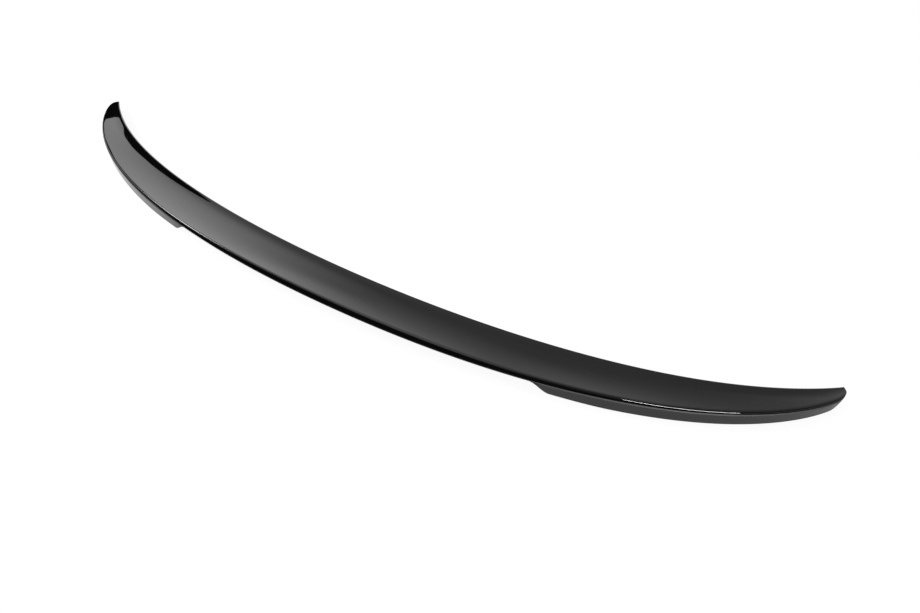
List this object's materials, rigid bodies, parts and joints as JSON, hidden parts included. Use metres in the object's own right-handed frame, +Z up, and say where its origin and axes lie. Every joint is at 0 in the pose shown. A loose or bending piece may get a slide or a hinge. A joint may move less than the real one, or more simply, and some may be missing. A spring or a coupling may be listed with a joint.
{
  "type": "car rear spoiler",
  "caption": "Slim gloss-black boot-lid lip spoiler: a crescent strip kicked up along its rear edge, with skirts under both ends, open beneath for bonding.",
  "frame": {"origin": "middle of the box at the level of the skirts' lower rims", "axes": "+X across the car along the span, +Y towards the front of the car, +Z up"},
  "size_m": [1.2114, 0.2169, 0.0317],
  "materials": {
    "moulding": "gloss black moulded plastic"
  },
  "bodies": {
    "root": {"spoiler": "moulding"}
  },
  "joints": []
}
